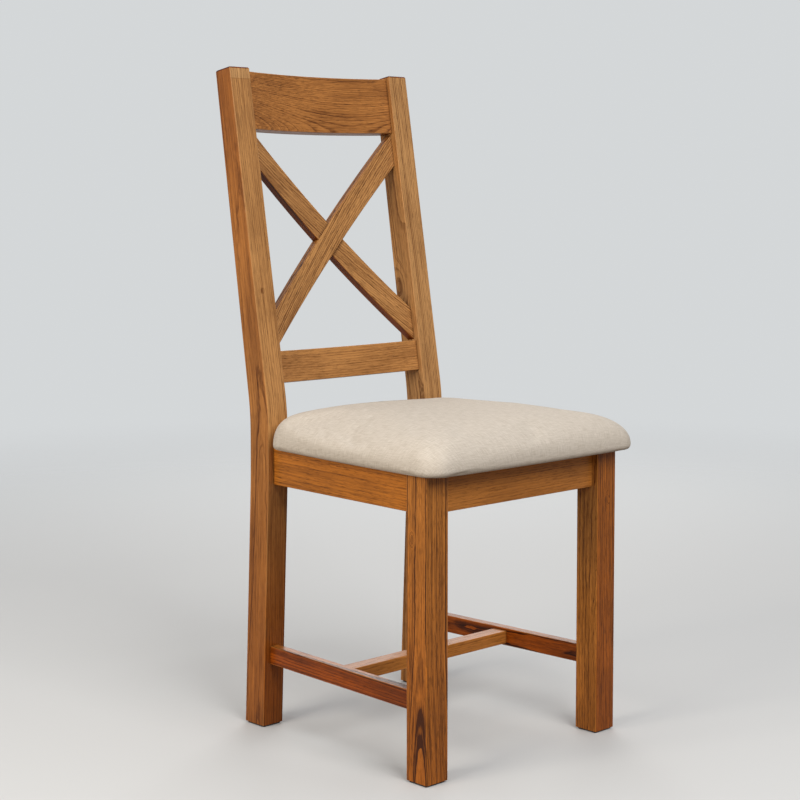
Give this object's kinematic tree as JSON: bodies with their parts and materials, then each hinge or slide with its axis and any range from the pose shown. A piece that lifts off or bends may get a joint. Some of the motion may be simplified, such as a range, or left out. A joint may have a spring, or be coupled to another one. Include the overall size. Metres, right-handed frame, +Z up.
{
  "type": "cross-back dining chair",
  "caption": "Oak dining chair with a bowed, cross-braced back, square legs tied by low stretchers, and a crowned linen-covered seat pad.",
  "frame": {"origin": "on the floor, under the middle of the chair's box", "axes": "+Z up, -Y the way the sitter faces, +X the sitter's left"},
  "size_m": [0.4538, 0.5404, 1.0496],
  "materials": {
    "oak": "satin lacquer over golden-brown stained oak",
    "beech": "unfinished",
    "plywood": "unfinished",
    "linen": "plain weave, cream",
    "foam": "open-cell foam",
    "dust_cloth": "non-woven black cloth",
    "steel": "zinc plated",
    "black_plastic": "matt"
  },
  "bodies": {
    "root": {"rear_post_right": "oak", "rear_post_left": "oak", "front_leg_right": "oak", "front_leg_left": "oak", "top_rail": "oak", "lower_back_rail": "oak", "cross_brace_front": "oak", "cross_brace_back": "oak", "front_apron": "oak", "rear_apron": "oak", "side_apron_right": "oak", "side_apron_left": "oak", "side_stretcher_right": "oak", "side_stretcher_left": "oak", "cross_stretcher": "oak", "corner_block_front_right": "beech", "corner_block_front_left": "beech", "corner_block_rear_right": "beech", "corner_block_rear_left": "beech", "corner_screw_front_right_1": "steel", "corner_screw_front_right_2": "steel", "corner_screw_front_left_1": "steel", "corner_screw_front_left_2": "steel", "corner_screw_rear_right_1": "steel", "corner_screw_rear_right_2": "steel", "corner_screw_rear_left_1": "steel", "corner_screw_rear_left_2": "steel", "seat_screw_front_right": "steel", "seat_screw_front_left": "steel", "seat_screw_rear_right": "steel", "seat_screw_rear_left": "steel", "seat_board": "plywood", "seat_foam": "foam", "seat_cover": "linen", "dust_cover": "dust_cloth", "glide_front_right": "black_plastic", "glide_front_left": "black_plastic", "glide_rear_right": "black_plastic", "glide_rear_left": "black_plastic"}
  },
  "joints": []
}
